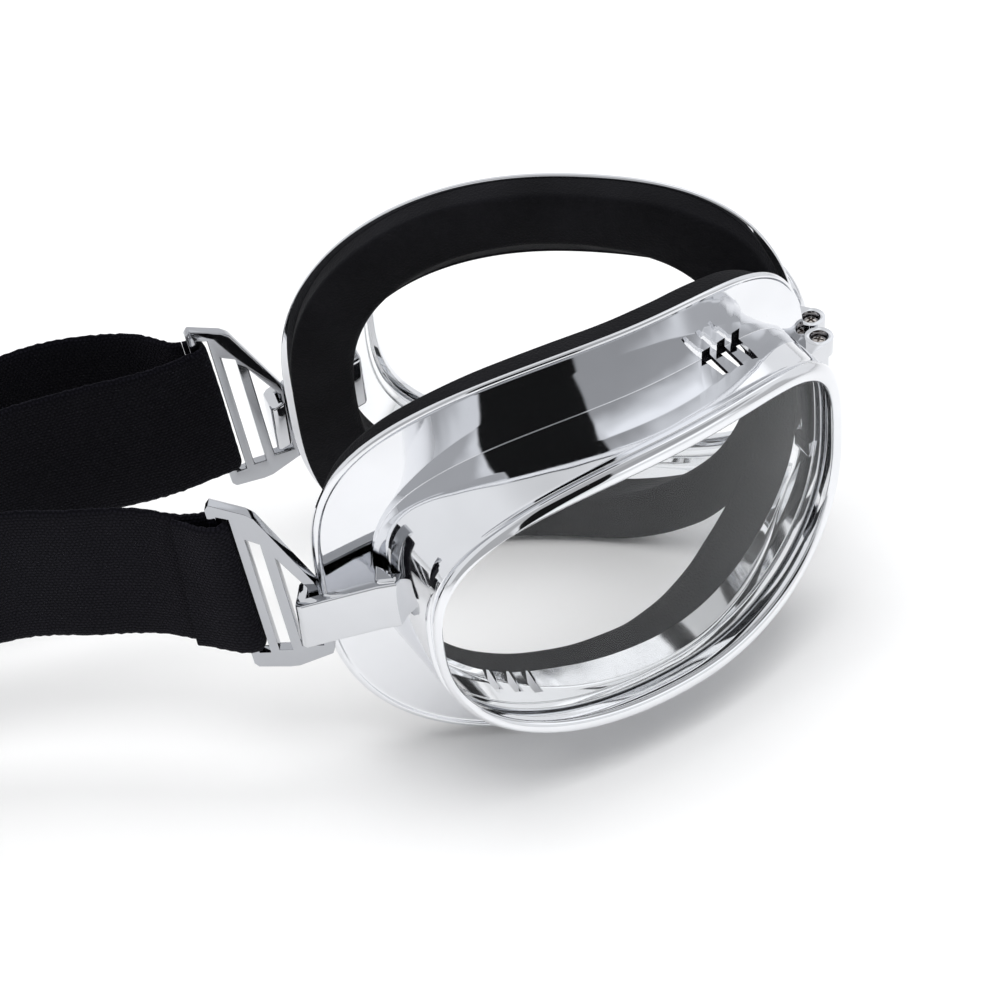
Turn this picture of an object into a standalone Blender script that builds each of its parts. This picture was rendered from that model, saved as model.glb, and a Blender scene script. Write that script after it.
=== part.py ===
"""Folding two-cup motorcycle goggles, standing folded in a V with the backs of
the cups facing each other.

World frame: metres, +Z up, floor at z = 0. The fold is symmetric about the
plane x = 0. The nose bridge is at the -Y end, the head strap runs towards +Y.
The wearer's right cup is at -X, the left cup at +X.

Each cup is drawn in its own frame, in millimetres:
  u  from the nose end of the flange (0) to its temple end (88)
  v  up, 0 at the height of the eye
  w  forwards, out through the lens
and then set into the fold by place().
"""

import math

import bmesh
import bpy
from mathutils import Vector

for _old in list(bpy.data.objects):
    bpy.data.objects.remove(_old, do_unlink=True)

MM = 0.001

# ---------------------------------------------------------------- dimensions
FLANGE_LENGTH = 88.0  # one cup, nose end to temple end
FLANGE_BOTTOM = -40.5
FLANGE_TOP = 38.0
FLANGE_THICK = 1.5
FLANGE_DISH = 1.4  # the flange falls back this far towards the wall

TEMPLE_SWEEP = -4.4  # back edge: tilt and bow, mm at the half length
BACK_BOW = -11.6
FRONT_BOW = -9.3
NOSE_RELIEF = 1.0

BEAD_FRONT = 13.6  # front of the bezel bead above the flange, mid cup
LENS_FRONT = 11.1
LENS_THICK = 1.8
RETAINER_THICK = 1.6
CREASE_HEIGHT = 7.6

FOAM_OUTER = 3.2  # depth of the face pad at its outer edge
FOAM_RIDGE = 5.0  # and at its crown
FOAM_INNER = 3.4

FOLD_ANGLE = 20.62  # each cup from the plane of symmetry, degrees
FOLD_OFFSET = 7.71
EYE_HEIGHT = -FLANGE_BOTTOM

PIVOT_X = 2.65  # bridge pivots, either side of the plane of symmetry
PIVOT_Y = 0.2
EAR_RADIUS = 2.4
EAR_TOP = 15.1
EAR_THICK = 3.0
EAR_LOW_TOP = -4.0
LINK_RADIUS = 1.95
SCREW_RADIUS = 0.8
HEAD_RADIUS = 1.3

ARM_HEIGHT = 9.3
ARM_SLOPE = -0.304
ARM_BACK = 2.9
ARM_FRONT = 5.0

BUCKLE_BACK = 0.5
BUCKLE_FRONT = 2.3
BUCKLE_LEAN = 0.09

STRAP_WIDTH = 28.0
STRAP_THICK = 1.3
STRAP_HEIGHT = 41.5  # mid strap, near the cups
STRAP_LOW = 16.8  # and behind, with the slider on the floor
STRAP_END = 272.0  # start of the strap's rear turn, along Y
SLIDER_Y = 238.0

ORIGIN_Y = 140.72  # puts the origin under the middle of the object

N = 56  # points round each cup outline

# ---------------------------------------------------------------- materials


def principled(name, colour, rough, metal, alpha=1.0):
    m = bpy.data.materials.new(name)
    m.use_nodes = True
    b = m.node_tree.nodes["Principled BSDF"]
    b.inputs["Base Color"].default_value = (*colour, 1.0)
    b.inputs["Roughness"].default_value = rough
    b.inputs["Metallic"].default_value = metal
    b.inputs["Alpha"].default_value = alpha
    m.diffuse_color = (*colour, alpha)
    return m


CHROME = principled("chrome_plating", (0.82, 0.83, 0.85), 0.06, 1.0)
LENS_MAT = principled("clear_lens", (0.92, 0.95, 0.96), 0.03, 0.0, 0.25)
FOAM_MAT = principled("black_foam", (0.02, 0.02, 0.024), 0.95, 0.0)
STRAP_MAT = principled("black_elastic", (0.018, 0.018, 0.022), 0.9, 0.0)
SCREW_MAT = principled("screw_steel", (0.66, 0.67, 0.69), 0.25, 1.0)

# ---------------------------------------------------------------- outlines
# An outline is an oval whose four quarters have their own squareness:
# centre u, centre v, u limits, v limits, then the squareness of the quarters
# (nose top, temple top, nose bottom, temple bottom).

FLANGE = (36.2, 1.6, 0.0, FLANGE_LENGTH, FLANGE_BOTTOM, FLANGE_TOP, 3.5, 2.6, 1.85, 3.2)
BASE = (36.5, 0.0, 0.8, 78.2, -30.0, 24.0, 3.9, 2.55, 1.9, 2.4)
CREASE = (36.5, -0.4, 0.2, 79.4, -30.5, 24.3, 3.7, 2.6, 2.1, 2.5)
BEAD = (36.5, -1.0, -0.8, 80.9, -31.0, 24.5, 3.5, 2.42, 2.15, 2.62)
LENS = (36.5, -1.0, 2.0, 77.6, -27.9, 21.3, 3.8, 2.8, 2.2, 2.65)
FOAM_IN = (39.3, 1.0, 9.0, 75.7, -29.4, 27.3, 2.9, 2.5, 1.7, 2.8)


def inset(o, g, nose=None):
    n = g if nose is None else nose
    return (o[0], o[1], o[2] + n, o[3] - g, o[4] + g, o[5] - g, *o[6:])


def oval(o, n=N, scale=1.0):
    """Points round an outline, evenly spaced in angle."""
    uc, vc, u0, u1, v0, v1, nt, tt, nb, tb = o
    pts = []
    for i in range(n):
        a = 2.0 * math.pi * (i + 0.5) / n
        # even out the spacing on the squarer quarters
        c, s = math.cos(a), math.sin(a)
        half_u = (u1 - uc) if c >= 0 else (uc - u0)
        half_v = (v1 - vc) if s >= 0 else (vc - v0)
        k = (tt if c >= 0 else nt) if s >= 0 else (tb if c >= 0 else nb)
        r = (abs(c) ** k + abs(s) ** k) ** (-1.0 / k)
        pts.append((uc + half_u * r * c * scale, vc + half_v * r * s * scale))
    return pts


def smooth(t):
    t = min(1.0, max(0.0, t))
    return t * t * (3 - 2 * t)


def span(u):
    return (u - 44.0) / 44.0


def back_bow(u):
    s = span(u)
    w = TEMPLE_SWEEP * s + BACK_BOW * s * s
    if s < -0.7:
        w += NOSE_RELIEF * ((-s - 0.7) / 0.3) ** 2
    return w


def front_bow(u):
    s = span(u)
    return FRONT_BOW * s * s


def crease_rise(u, v):
    """The lower band of the wall is highest over the brow and dies out at both ends."""
    s = abs((u - 42.0) / 40.0)
    return max(1.2, CREASE_HEIGHT * (1.0 - s**2.2))


# ---------------------------------------------------------------- placing

COS_F = math.cos(math.radians(90.0 - FOLD_ANGLE))
SIN_F = math.sin(math.radians(90.0 - FOLD_ANGLE))


def world(u, w, v, side):
    """Cup coordinates to metres in the world; side is -1 for the right cup."""
    x = (COS_F * u + SIN_F * w + FOLD_OFFSET) * side
    y = SIN_F * u - COS_F * w - ORIGIN_Y
    return Vector((x, y, v + EYE_HEIGHT)) * MM


def cup(x_mm, y_mm):
    """World x (as on the left cup) and y, without the origin shift, back to u, w."""
    a, b = x_mm - FOLD_OFFSET, y_mm
    return (COS_F * a + SIN_F * b, SIN_F * a - COS_F * b)


# The temple frame: p outwards along the tangent of the flange's temple end,
# q forwards from the flange's front face, v up.
_slope = (TEMPLE_SWEEP + 2 * BACK_BOW) / 44.0
_len = math.hypot(1.0, _slope)
TU, TW = 1.0 / _len, _slope / _len
NU, NW = -TW, TU
TIP_W = TEMPLE_SWEEP + BACK_BOW


def temple(p, q, v, side, lean=0.0):
    p = p + lean * BUCKLE_LEAN * (v + 6.0)
    return world(FLANGE_LENGTH + TU * p + NU * q, TIP_W + TW * p + NW * q, v, side)


# ---------------------------------------------------------------- mesh tools


def new_object(name, bm, material, smooth=35.0):
    bmesh.ops.recalc_face_normals(bm, faces=bm.faces)
    me = bpy.data.meshes.new(name)
    bm.to_mesh(me)
    bm.free()
    me.shade_smooth()
    me.set_sharp_from_angle(angle=math.radians(smooth))
    ob = bpy.data.objects.new(name, me)
    bpy.context.scene.collection.objects.link(ob)
    if material is not None:
        me.materials.append(material)
    return ob


def helper(ob):
    ob.hide_render = True
    ob.display_type = "WIRE"
    ob.hide_set(False)
    return ob


def boolean(ob, other, operation):
    m = ob.modifiers.new(operation.lower() + "_" + other.name, "BOOLEAN")
    m.operation = operation
    m.object = other
    m.solver = "EXACT"
    helper(other)
    return m


def loft_tube(rings, close=True):
    """Quads between successive rings; with close, the last joins the first."""
    bm = bmesh.new()
    vs = [[bm.verts.new(p) for p in ring] for ring in rings]
    k = len(rings)
    for a in range(k if close else k - 1):
        r, s = vs[a], vs[(a + 1) % k]
        n = len(r)
        for i in range(n):
            j = (i + 1) % n
            bm.faces.new((r[i], r[j], s[j], s[i]))
    return bm, vs


def prism(points_a, points_b):
    """A closed solid between two matching polygons."""
    bm = bmesh.new()
    a = [bm.verts.new(p) for p in points_a]
    b = [bm.verts.new(p) for p in points_b]
    n = len(a)
    bm.faces.new(a)
    bm.faces.new(list(reversed(b)))
    for i in range(n):
        j = (i + 1) % n
        bm.faces.new((a[i], b[i], b[j], a[j]))
    return bm


def drum(cx, cy, z0, z1, r, n=20):
    """An upright cylinder; world mm without the origin shift."""
    ring = [
        (cx + r * math.cos(2 * math.pi * i / n), cy + r * math.sin(2 * math.pi * i / n))
        for i in range(n)
    ]
    lo = [Vector((x, y - ORIGIN_Y, z0)) * MM for x, y in ring]
    hi = [Vector((x, y - ORIGIN_Y, z1)) * MM for x, y in ring]
    return prism(lo, hi)


def stadium(r, z0, z1, n=12):
    """An upright bar with round ends centred on the two pivots."""
    pts = []
    for cx, a0 in ((PIVOT_X, -90.0), (-PIVOT_X, 90.0)):
        for i in range(n + 1):
            a = math.radians(a0 + 180.0 * i / n)
            pts.append((cx + r * math.cos(a), PIVOT_Y + r * math.sin(a)))
    return prism(
        [Vector((x, y - ORIGIN_Y, z0)) * MM for x, y in pts],
        [Vector((x, y - ORIGIN_Y, z1)) * MM for x, y in pts],
    )


def ring_points(outline, lift, side, n=N):
    return [world(u, lift(u, v), v, side) for u, v in oval(outline, n)]


# ---------------------------------------------------------------- cup shell


def shell(side, name):
    back = lambda d: (lambda u, v: back_bow(u) + d)
    front = lambda d: (lambda u, v: front_bow(u) + d)
    # the rolled rim and the dish of the flange both die out at the nose
    rim = lambda d: (lambda u, v: back_bow(u) + d * smooth((u - 1.0) / 7.0))
    crease = lambda u, v: rim(-FLANGE_DISH)(u, v) + crease_rise(u, v)
    wall_in = inset(BASE, 1.5)
    seat = inset(LENS, -1.1)
    stack = [
        (inset(FLANGE, 0.4, nose=0.2), back(-FLANGE_THICK)),
        (FLANGE, back(-FLANGE_THICK + 0.4)),
        (FLANGE, back(0.0)),
        (inset(FLANGE, 0.4, nose=0.05), rim(0.45)),
        (inset(FLANGE, 1.1, nose=0.15), rim(0.35)),
        (inset(FLANGE, 1.6, nose=0.25), rim(-0.05)),
        (inset(BASE, -0.9, nose=-0.3), rim(-FLANGE_DISH)),
        (BASE, lambda u, v: rim(-FLANGE_DISH)(u, v) + 0.6),
        (CREASE, crease),
        (inset(BEAD, 0.6), front(10.8)),
        (BEAD, front(12.1)),
        (inset(BEAD, 0.35), front(13.1)),
        (inset(BEAD, 1.2), front(BEAD_FRONT)),
        (inset(LENS, -0.4), front(13.1)),
        (LENS, front(12.2)),
        (LENS, front(LENS_FRONT + 0.3)),
        (seat, front(LENS_FRONT + 0.3)),
        (seat, front(LENS_FRONT - LENS_THICK - RETAINER_THICK - 0.9)),
        (inset(CREASE, 1.5), lambda u, v: crease(u, v) - 0.5),
        (wall_in, back(-FLANGE_DISH - FLANGE_THICK)),
    ]
    bm, _ = loft_tube([ring_points(o, f, side) for o, f in stack])
    ob = new_object(name, bm, CHROME)

    # Strap arm: a flat bar from the temple wall past the flange, with a hook.
    def mid(p):
        return -5.85 + ARM_SLOPE * (p - 1.7)

    def bar(p0, p1, q0, q1, h0=None, h1=None):
        h0 = ARM_HEIGHT if h0 is None else h0
        h1 = h0 if h1 is None else h1
        lo, hi = [], []
        for q in (q0, q1):
            pts = [
                (p0, mid(p0) - h0 / 2),
                (p1, mid(p1) - h1 / 2),
                (p1, mid(p1) + h1 / 2),
                (p0, mid(p0) + h0 / 2),
            ]
            (lo if q == q0 else hi).extend(temple(p, q, v, side) for p, v in pts)
        return prism(lo, hi)

    # the hook's outline seen from above: arm, drop through the slot, and toe
    outline = [
        (-13.6, ARM_BACK),
        (1.45, ARM_BACK),
        (1.45, -0.1),
        (0.6, -0.1),
        (0.6, -1.2),
        (2.6, -1.3),
        (3.2, -0.7),
        (3.3, 4.0),
        (2.7, 4.8),
        (2.0, ARM_FRONT),
        (-10.2, ARM_FRONT),
        (-14.3, ARM_FRONT + 0.5),
    ]
    low = [temple(p, q, mid(p) - ARM_HEIGHT / 2, side) for p, q in outline]
    high = [temple(p, q, mid(p) + ARM_HEIGHT / 2, side) for p, q in outline]
    arm = new_object(name + "_arm_tool", prism(low, high), CHROME)
    boolean(ob, arm, "UNION")
    # boss under the arm's root, standing on the flange and against the wall
    boss_outline = [(-9.6, -1.2), (-9.9, 3.4), (-10.2, 4.2), (-14.0, 5.1), (-14.0, -1.2)]
    low = [temple(p, q, mid(p) - ARM_HEIGHT / 2 - 0.6, side) for p, q in boss_outline]
    high = [temple(p, q, mid(p) + ARM_HEIGHT / 2 + 0.6, side) for p, q in boss_outline]
    boss = new_object(name + "_boss_tool", prism(low, high), CHROME)
    boolean(ob, boss, "UNION")

    # Hinge ears at the nose: two drums on the pivot axis with short webs.
    px = PIVOT_X * side
    pu, pw = cup(PIVOT_X, PIVOT_Y)
    for tag, v1 in (("upper", EAR_TOP), ("lower", EAR_LOW_TOP)):
        z1 = v1 + EYE_HEIGHT
        ear = new_object(
            name + "_" + tag + "_ear_tool",
            drum(px, PIVOT_Y, z1 - EAR_THICK, z1, EAR_RADIUS, 24),
            CHROME,
        )
        boolean(ob, ear, "UNION")
        foot = [(pu - 0.2, pw - 1.3), (pu - 0.2, pw + 2.2), (pu + 4.2, pw + 3.2), (pu + 4.2, pw - 1.0)]
        web = new_object(
            name + "_" + tag + "_web_tool",
            prism(
                [world(u, w, v1 - EAR_THICK + 0.07, side) for u, w in foot],
                [world(u, w, v1 - 0.11, side) for u, w in foot],
            ),
            CHROME,
        )
        boolean(ob, web, "UNION")
    # clear the link between the ears
    notch = new_object(
        name + "_notch_tool",
        stadium(LINK_RADIUS + 0.4, EAR_LOW_TOP + EYE_HEIGHT, EAR_TOP - EAR_THICK + EYE_HEIGHT),
        None,
    )
    boolean(ob, notch, "DIFFERENCE")
    # screw hole with a counterbore in the upper ear
    hole = new_object(
        name + "_hole_tool",
        drum(px, PIVOT_Y, EAR_LOW_TOP - EAR_THICK + EYE_HEIGHT - 1, EAR_TOP + EYE_HEIGHT + 1, SCREW_RADIUS + 0.28, 16),
        None,
    )
    boolean(ob, hole, "DIFFERENCE")
    bore = new_object(
        name + "_bore_tool",
        drum(px, PIVOT_Y, EAR_TOP - 1.4 + EYE_HEIGHT, EAR_TOP + EYE_HEIGHT + 1, HEAD_RADIUS + 0.3, 20),
        None,
    )
    boolean(ob, bore, "DIFFERENCE")

    # Vents: three slots over the brow near the nose, three under the temple.
    for i in range(3):
        u = 22.3 - 3.2 * i
        w0, w1 = back_bow(u) - FLANGE_DISH - 3.0, back_bow(u) + 4.2
        box = [(u - 0.85, w0), (u + 0.75, w0), (u + 1.95, w1), (u + 0.35, w1)]
        vent = new_object(
            "%s_top_vent_tool_%d" % (name, i),
            prism([world(a, b, 19.5, side) for a, b in box], [world(a, b, 25.5, side) for a, b in box]),
            None,
        )
        boolean(ob, vent, "DIFFERENCE")
        u = 65.4 - 3.15 * i
        w0, w1 = back_bow(u) - FLANGE_DISH - 3.0, back_bow(u) + 4.4
        box = [(u - 0.8, w0), (u + 0.8, w0), (u + 1.4, w1), (u - 0.2, w1)]
        vent = new_object(
            "%s_low_vent_tool_%d" % (name, i),
            prism([world(a, b, -33.0, side) for a, b in box], [world(a, b, -22.0, side) for a, b in box]),
            None,
        )
        boolean(ob, vent, "DIFFERENCE")
    return ob


def lens(side, name):
    edge = inset(LENS, -0.8)
    scales = (1.0, 0.72, 0.4)
    bm = bmesh.new()
    layers = []
    for d in (LENS_FRONT, LENS_FRONT - LENS_THICK):
        rings = []
        for s in scales:
            rings.append(
                [bm.verts.new(world(u, front_bow(u) + d, v, side)) for u, v in oval(edge, N, s)]
            )
        rings.append(bm.verts.new(world(edge[0], front_bow(edge[0]) + d, edge[1], side)))
        layers.append(rings)
    for rings in layers:
        for a in range(2):
            for i in range(N):
                j = (i + 1) % N
                bm.faces.new((rings[a][i], rings[a][j], rings[a + 1][j], rings[a + 1][i]))
        for i in range(N):
            bm.faces.new((rings[2][i], rings[2][(i + 1) % N], rings[3]))
    for i in range(N):
        j = (i + 1) % N
        bm.faces.new((layers[0][0][i], layers[1][0][i], layers[1][0][j], layers[0][0][j]))
    return new_object(name, bm, LENS_MAT)


def retainer(side, name):
    d1 = LENS_FRONT - LENS_THICK - 0.3
    d0 = d1 - RETAINER_THICK
    outer, inner = inset(LENS, -0.8), inset(LENS, 0.5)
    front = lambda d: (lambda u, v: front_bow(u) + d)
    bm, _ = loft_tube(
        [ring_points(o, front(d), side) for o, d in ((outer, d0), (outer, d1), (inner, d1), (inner, d0))]
    )
    return new_object(name, bm, CHROME)


def face_foam(side, name):
    def depth(u):
        """The pad thins towards the nose, where the two cups close on each other."""
        t = min(1.0, max(0.0, (u - 3.0) / 15.0))
        return 0.5 + 0.5 * t * t * (3 - 2 * t)

    outer = inset(FLANGE, 2.2, nose=4.2)
    crown = inset(FLANGE, 5.0, nose=6.2)
    start = -FLANGE_THICK - 0.45
    stack = [
        (outer, lambda u, v: back_bow(u) + start - 0.35 - 1.1 * (1.0 - smooth((u - 8.0) / 18.0))),
        (outer, lambda u, v: back_bow(u) + start - FOAM_OUTER * depth(u)),
        (inset(outer, 0.7), lambda u, v: back_bow(u) + start - (FOAM_OUTER + 0.7) * depth(u)),
        (crown, lambda u, v: back_bow(u) + start - FOAM_RIDGE * depth(u)),
        (inset(FOAM_IN, -0.7), lambda u, v: back_bow(u) + start - (FOAM_INNER + 0.9) * depth(u)),
        (FOAM_IN, lambda u, v: back_bow(u) + start - (FOAM_INNER + 0.1) * depth(u)),
        (FOAM_IN, lambda u, v: back_bow(u) + start - 1.4),
    ]
    bm, _ = loft_tube([ring_points(o, f, side) for o, f in stack])
    return new_object(name, bm, FOAM_MAT)


# ---------------------------------------------------------------- bridge


def bridge_link(name):
    lo = EAR_LOW_TOP + 0.3 + EYE_HEIGHT
    hi = EAR_TOP - EAR_THICK - 0.3 + EYE_HEIGHT
    ob = new_object(name, stadium(LINK_RADIUS, lo, hi), CHROME)
    for tag, sx in (("right", -1), ("left", 1)):
        hole = new_object(
            name + "_" + tag + "_hole_tool", drum(PIVOT_X * sx, PIVOT_Y, lo - 1, hi + 1, SCREW_RADIUS + 0.3, 16), None
        )
        boolean(ob, hole, "DIFFERENCE")
    return ob


def bridge_screw(side, name):
    px = PIVOT_X * side
    base = EAR_LOW_TOP - EAR_THICK + EYE_HEIGHT + 0.3
    seat = EAR_TOP - 1.1 + EYE_HEIGHT
    top = EAR_TOP - 0.25 + EYE_HEIGHT
    n = 20
    bm = bmesh.new()
    levels = [(SCREW_RADIUS, base), (SCREW_RADIUS, seat), (HEAD_RADIUS, seat), (HEAD_RADIUS, top - 0.2), (HEAD_RADIUS - 0.3, top)]
    rings = []
    for r, z in levels:
        rings.append(
            [
                bm.verts.new(
                    Vector((px + r * math.cos(2 * math.pi * i / n), PIVOT_Y - ORIGIN_Y + r * math.sin(2 * math.pi * i / n), z))
                    * MM
                )
                for i in range(n)
            ]
        )
    for a in range(len(rings) - 1):
        for i in range(n):
            j = (i + 1) % n
            bm.faces.new((rings[a][i], rings[a][j], rings[a + 1][j], rings[a + 1][i]))
    bm.faces.new(list(reversed(rings[0])))
    bm.faces.new(rings[-1])
    ob = new_object(name, bm, SCREW_MAT)
    # cross recess
    for k, (dx, dy) in enumerate(((0.75, 0.17), (0.17, 0.751))):
        cut = new_object(
            "%s_recess_tool_%d" % (name, k),
            prism(
                [Vector((px + a * dx, PIVOT_Y - ORIGIN_Y + b * dy, top - 0.5)) * MM for a, b in ((-1, -1), (1, -1), (1, 1), (-1, 1))],
                [Vector((px + a * dx, PIVOT_Y - ORIGIN_Y + b * dy, top + 0.5)) * MM for a, b in ((-1, -1), (1, -1), (1, 1), (-1, 1))],
            ),
            None,
        )
        boolean(ob, cut, "DIFFERENCE")
    return ob


# ---------------------------------------------------------------- buckle


def buckle(side, name):
    # outline in p, v before the lean: level foot, stepped slanting top
    outline = [
        (-1.0, -13.2),
        (-0.4, -14.6),
        (5.6, -17.2),
        (7.2, -17.4),
        (12.4, -17.2),
        (13.0, -16.4),
        (13.0, 17.6),
        (12.2, 18.6),
        (7.0, 16.4),
        (5.8, 15.4),
        (-0.6, 1.6),
        (-1.0, 0.4),
    ]
    bm = prism(
        [temple(p, BUCKLE_BACK, v, side, 1.0) for p, v in outline],
        [temple(p, BUCKLE_FRONT, v, side, 1.0) for p, v in outline],
    )
    ob = new_object(name, bm, CHROME)
    slots = (
        ("hook", [(0.7, -12.7), (4.3, -12.7), (4.3, 7.0), (0.7, 0.4)]),
        ("middle", [(6.0, -13.5), (8.2, -13.5), (8.2, 11.2), (6.0, 10.0)]),
        ("strap", [(9.7, -14.0), (11.6, -14.0), (11.6, 16.1), (9.7, 15.5)]),
    )
    for tag, pts in slots:
        cut = new_object(
            "%s_%s_slot_tool" % (name, tag),
            prism(
                [temple(p, BUCKLE_BACK - 1.0, v, side, 1.0) for p, v in pts],
                [temple(p, BUCKLE_FRONT + 1.0, v, side, 1.0) for p, v in pts],
            ),
            None,
        )
        boolean(ob, cut, "DIFFERENCE")
    return ob


# ---------------------------------------------------------------- strap


def strap_height(y):
    """Mid-height of the strap: level at the cups, down to the floor behind."""
    return STRAP_HEIGHT + (STRAP_LOW - STRAP_HEIGHT) * smooth((y - 128.0) / 98.0)


def curve_points(points, per=6):
    """A smooth curve through the given plan points."""
    out = []
    n = len(points)
    for i in range(n - 1):
        p0 = points[max(0, i - 1)]
        p1, p2 = points[i], points[i + 1]
        p3 = points[min(n - 1, i + 2)]
        for k in range(per):
            t = k / per
            out.append(
                tuple(
                    0.5
                    * (
                        2 * p1[a]
                        + (p2[a] - p0[a]) * t
                        + (2 * p0[a] - 5 * p1[a] + 4 * p2[a] - p3[a]) * t * t
                        + (3 * p1[a] - p0[a] - 3 * p2[a] + p3[a]) * t**3
                    )
                    for a in range(len(p1))
                )
            )
    out.append(points[-1])
    return out


def ribbon(name, stations, material=STRAP_MAT):
    """A flat strap through stations (x, y, z_mid, lean_x, lean_y): the lean moves
    the top edge one way and the bottom edge the other."""
    bm = bmesh.new()
    rings = []
    n = len(stations)
    half_w, half_t = STRAP_WIDTH / 2, STRAP_THICK / 2
    for i, (x, y, z, lx, ly) in enumerate(stations):
        a, b = stations[max(0, i - 1)], stations[min(n - 1, i + 1)]
        t = Vector((b[0] - a[0], b[1] - a[1]))
        t.normalize()
        nx, ny = -t.y, t.x
        ring = []
        for sv, sn in ((-1, -1), (1, -1), (1, 1), (-1, 1)):
            ring.append(
                bm.verts.new(
                    Vector(
                        (
                            x + sn * half_t * nx + sv * lx,
                            y + sn * half_t * ny + sv * ly - ORIGIN_Y,
                            z + sv * half_w,
                        )
                    )
                    * MM
                )
            )
        rings.append(ring)
    for a in range(n - 1):
        for i in range(4):
            j = (i + 1) % 4
            bm.faces.new((rings[a][i], rings[a][j], rings[a + 1][j], rings[a + 1][i]))
    bm.faces.new(list(reversed(rings[0])))
    bm.faces.new(rings[-1])
    return new_object(name, bm, material)


def temple_xy(p, q, side):
    c = temple(p, q, 0.0, side) / MM
    return (c.x, c.y + ORIGIN_Y)


def wrap(side, front_end):
    """Plan stations from the folded end, through the buckle's strap slot and round
    its outer bar; each carries how far it leans with the buckle."""
    mid = (BUCKLE_BACK + BUCKLE_FRONT) / 2
    off = (BUCKLE_FRONT - BUCKLE_BACK) / 2 + 0.3 + STRAP_THICK / 2
    slot = 10.65
    pts = []
    for p, q in front_end:
        pts.append((p, q))
    pts.append((13.6, mid + off))
    pts.append((12.3, mid + off))
    for i in range(1, 6):
        c, s = math.cos(math.pi * (i / 6 - 0.5)), math.sin(math.pi * (0.5 - i / 6))
        pts.append((12.3 - (12.3 - slot) * c**0.6, mid + off * math.copysign(abs(s) ** 0.6, s)))
    pts.append((12.3, mid - off))
    pts.append((13.6, mid - off))
    out = []
    for p, q in pts:
        lean = 1.0 if p < 14 else max(0.0, 1.0 - (p - 14.0) / 7.0)
        x, y = temple_xy(p + lean * BUCKLE_LEAN * (STRAP_HEIGHT - EYE_HEIGHT + 6.0), q, side)
        x2, y2 = temple_xy(p + lean * BUCKLE_LEAN * (STRAP_HEIGHT - EYE_HEIGHT + 6.0) + lean * BUCKLE_LEAN * STRAP_WIDTH / 2, q, side)
        out.append((x, y, STRAP_HEIGHT, x2 - x, y2 - y))
    return out


def run(points, side):
    return [(x, y, strap_height(y), 0.0, 0.0) for x, y in points]


def rear_turn(side):
    """Half of the rear turn, as far as the middle of the strap."""
    out = []
    for i in range(1, 9):
        a = math.pi / 2 * i / 8
        x = side * (13.5 * math.cos(a))
        y = STRAP_END + 11.0 * math.sin(a)
        if i == 8:
            x = side * 0.2
        out.append((x, y))
    return out


def right_strap():
    side = -1
    front_end = [(20.8, 1.15), (18.2, 1.75), (15.6, 2.75)]
    stations = wrap(side, front_end)
    plan = [temple_xy(13.6, -0.45, side), (-19.7, 107.6), (-16.7, 113.6), (-15.1, 119.5), (-14.0, 126.0), (-12.4, 132.0), (-11.2, 138.5)]
    plan += [(-10.6, 152.0), (-10.8, 170.0), (-12.0, 195.0), (-13.2, 225.0), (-13.5, 250.0), (-13.5, STRAP_END)]
    pts = curve_points(plan, 3)[2:]
    stations += run(pts, side)
    stations += run(rear_turn(side), side)
    return stations


def left_strap():
    """Main run of the left side: rear middle to the slot, round the bar, ending where
    the outer layer starts back."""
    side = 1
    plan = [temple_xy(13.6, -0.45, side), (18.2, 107.8), (17.0, 113.6), (16.4, 120.0), (15.4, 126.5), (14.5, 132.5), (13.8, 138.5)]
    plan += [(13.4, 152.0), (13.4, 175.0), (13.5, 200.0), (13.5, 225.0), (13.5, 250.0), (13.5, STRAP_END)]
    pts = curve_points(plan, 3)[2:]
    wrapped = wrap(side, [])
    stations = wrapped + run(pts, side)
    stations += run(rear_turn(side), side)
    return stations


def left_tail():
    """The doubled-back layer, from the buckle out to the slider's middle bar."""
    side = 1
    x0, y0 = temple_xy(14.6, 3.3, side)
    plan = [
        (x0 + 0.3, y0 + 1.7),
        (25.9, 107.2),
        (28.3, 112.0),
        (29.7, 118.5),
        (30.0, 126.0),
        (28.6, 134.5),
        (25.4, 145.0),
        (22.4, 157.0),
        (20.4, 172.0),
        (19.2, 192.0),
        (18.7, 215.0),
        (18.65, SLIDER_Y - 3.0),
    ]
    pts = curve_points(plan, 3)
    out = run(pts, side)
    # round the middle bar of the slider and back along it
    z = strap_height(SLIDER_Y)
    for i in range(1, 6):
        a = math.pi / 2 - math.pi * i / 6
        out.append((16.92 + 1.73 * math.sin(a), SLIDER_Y + 1.0 + 2.2 * math.cos(a), z, 0, 0))
    out.append((15.2, SLIDER_Y - 2.0, z, 0, 0))
    out.append((15.2, SLIDER_Y - 9.0, strap_height(SLIDER_Y - 9.0), 0, 0))
    return out


def slider(name):
    """Strap slider: two outer bars inside the strap, a middle bar outside it."""
    z = strap_height(SLIDER_Y)
    half = STRAP_WIDTH / 2 + 0.6

    def block(x0, x1, y0, y1, z0, z1):
        lo = [Vector((x, y - ORIGIN_Y, z0)) * MM for x, y in ((x0, y0), (x1, y0), (x1, y1), (x0, y1))]
        hi = [Vector((v.x, v.y, z1 * MM)) for v in lo]
        return prism(lo, hi)

    y = SLIDER_Y
    ob = new_object(name, block(11.0, 12.5, y - 9.0, y - 5.5, z - half, z + half), CHROME)
    parts = (
        block(11.0, 12.51, y + 5.5, y + 9.0, z - half, z + half),
        block(11.0, 17.6, y - 9.0, y + 9.0, z + half - 0.05, z + half + 1.9),
        block(11.0, 17.6, y - 9.0, y + 9.0, z - half - 1.9, z - half + 0.05),
        block(16.2, 17.59, y - 1.2, y + 1.2, z - half - 0.1, z + half + 0.1),
    )
    for i, bm in enumerate(parts):
        boolean(ob, new_object("%s_bar_tool_%d" % (name, i), bm, CHROME), "UNION")
    return ob


# ---------------------------------------------------------------- build

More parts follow.
